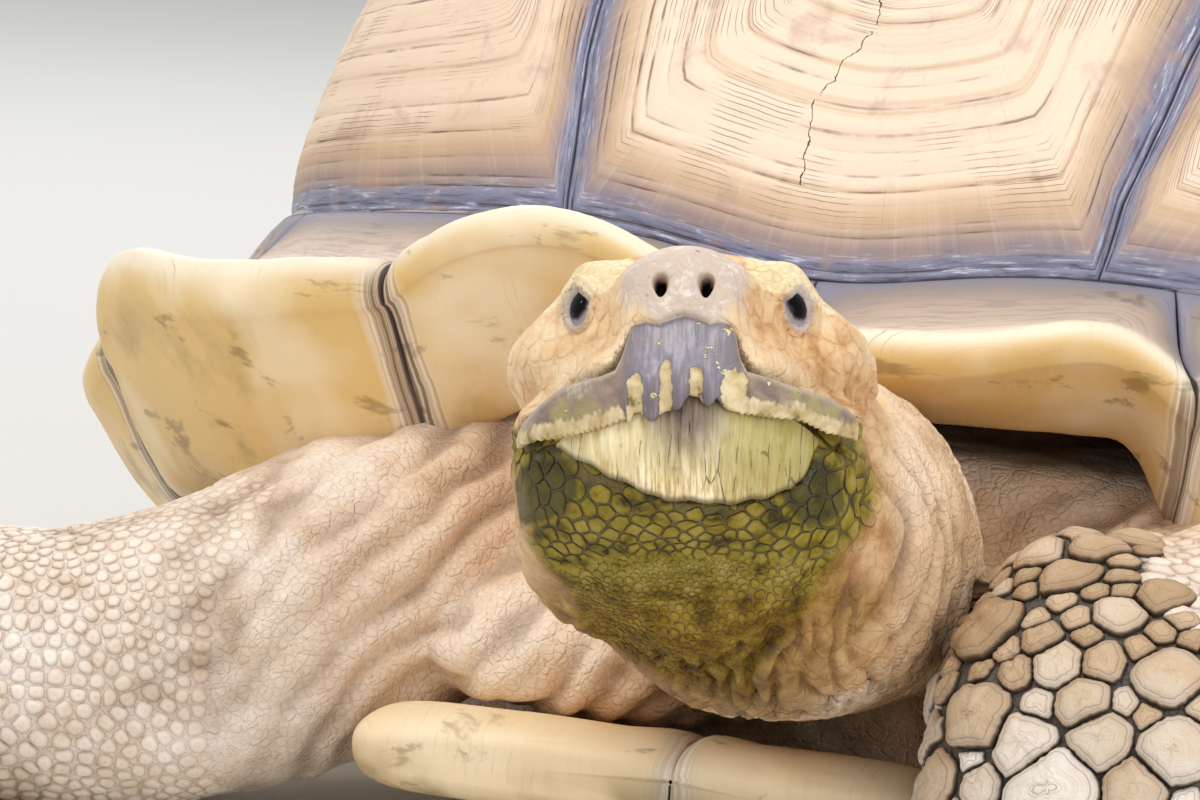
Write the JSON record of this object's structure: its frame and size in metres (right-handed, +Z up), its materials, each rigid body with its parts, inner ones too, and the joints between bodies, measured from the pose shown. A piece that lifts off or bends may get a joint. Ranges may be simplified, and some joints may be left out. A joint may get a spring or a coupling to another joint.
{
  "type": "sulcata tortoise",
  "caption": "Life-size still model of an adult sulcata tortoise resting on its lower shell, head raised and turned to its left, one foreleg stretched out to the side",
  "frame": {"origin": "centre of the lower shell's resting face, on the floor", "axes": "+Z up, head to -Y, the animal's left side to +X"},
  "size_m": [0.5892, 0.7639, 0.2827],
  "materials": {
    "scute": "satin growth-ringed horn",
    "rim": "satin worn horn",
    "underside": "satin worn horn",
    "skin": "dry scaled hide",
    "horn": "satin beak and claw horn",
    "eye": "wet gloss"
  },
  "bodies": {
    "root": {"costal_left_1": "scute", "costal_left_2": "scute", "costal_left_3": "scute", "costal_left_4": "scute", "costal_right_1": "scute", "costal_right_2": "scute", "costal_right_3": "scute", "costal_right_4": "scute", "eye_left": "eye", "eye_right": "eye", "foreleg_left": "skin", "foreleg_right": "skin", "gular_left": "underside", "gular_right": "underside", "head": "skin", "hindleg_left": "skin", "hindleg_right": "skin", "lower_beak": "horn", "lower_jaw": "skin", "marginal_left_1": "rim", "marginal_left_10": "rim", "marginal_left_11": "rim", "marginal_left_2": "rim", "marginal_left_3": "rim", "marginal_left_4": "rim", "marginal_left_5": "rim", "marginal_left_6": "rim", "marginal_left_7": "rim", "marginal_left_8": "rim", "marginal_left_9": "rim", "marginal_right_1": "rim", "marginal_right_10": "rim", "marginal_right_11": "rim", "marginal_right_2": "rim", "marginal_right_3": "rim", "marginal_right_4": "rim", "marginal_right_5": "rim", "marginal_right_6": "rim", "marginal_right_7": "rim", "marginal_right_8": "rim", "marginal_right_9": "rim", "neck": "skin", "plastron": "underside", "supracaudal": "rim", "tail": "skin", "trunk": "skin", "upper_beak": "horn", "vertebral_1": "scute", "vertebral_2": "scute", "vertebral_3": "scute", "vertebral_4": "scute", "vertebral_5": "scute"}
  },
  "joints": []
}
